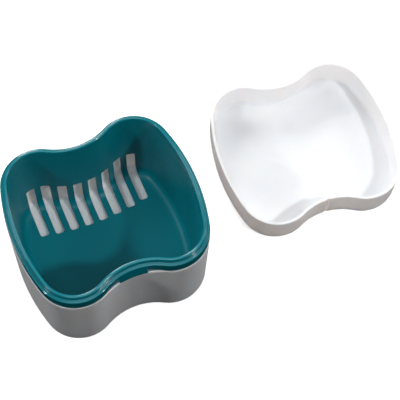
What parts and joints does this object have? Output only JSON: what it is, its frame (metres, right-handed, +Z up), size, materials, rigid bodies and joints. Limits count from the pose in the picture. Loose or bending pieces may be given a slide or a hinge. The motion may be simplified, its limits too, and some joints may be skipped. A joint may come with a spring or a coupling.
{
  "type": "denture case",
  "caption": "Waisted bath case for dentures: outer tub, hanging strainer basket with drain slots, and a slip-on lid lying open side up beside it.",
  "frame": {"origin": "on the surface the case stands on, under the middle of the outer tub", "axes": "+X across the case towards the lid that lies beside it, +Y to the slotted back wall of the basket, +Z up"},
  "size_m": [0.2139, 0.0989, 0.056],
  "materials": {
    "white_plastic": "satin moulded polypropylene, plain white",
    "teal_plastic": "satin moulded polypropylene, dark teal right through"
  },
  "bodies": {
    "tub": {"outer_tub": "white_plastic"},
    "basket": {"strainer_basket": "teal_plastic"},
    "lid": {"lid": "white_plastic"}
  },
  "joints": [
    {"name": "basket_lift", "type": "slide", "parent": "tub", "child": "basket", "axis": [0, 0, 1], "range_m": [0, 0.06]},
    {"name": "lid_lift", "type": "slide", "parent": "tub", "child": "lid", "axis": [0, 0, 1], "range_m": [0, 0.06]}
  ]
}
